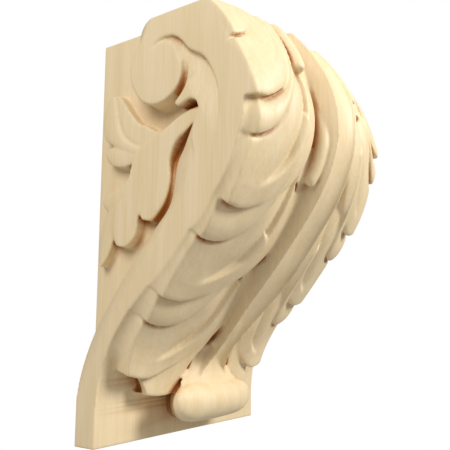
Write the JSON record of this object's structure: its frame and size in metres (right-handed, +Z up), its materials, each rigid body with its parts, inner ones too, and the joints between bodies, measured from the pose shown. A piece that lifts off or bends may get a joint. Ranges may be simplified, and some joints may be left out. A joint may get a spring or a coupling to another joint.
{
  "type": "acanthus block corbel",
  "caption": "Carved wooden block corbel with scrolled side bands, acanthus sprays in recessed side panels and a large acanthus leaf with a curled tip down the front.",
  "frame": {"origin": "centre of the flat back face, halfway up and halfway across", "axes": "+Z up, +Y into the wall behind the corbel, the leaf faces -Y and +X is to the right seen from the front"},
  "size_m": [0.165, 0.1383, 0.254],
  "materials": {
    "pale_hardwood": "unfinished fine-grained hardwood, machine carved and sanded smooth"
  },
  "bodies": {
    "root": {"acanthus_corbel": "pale_hardwood"}
  },
  "joints": []
}
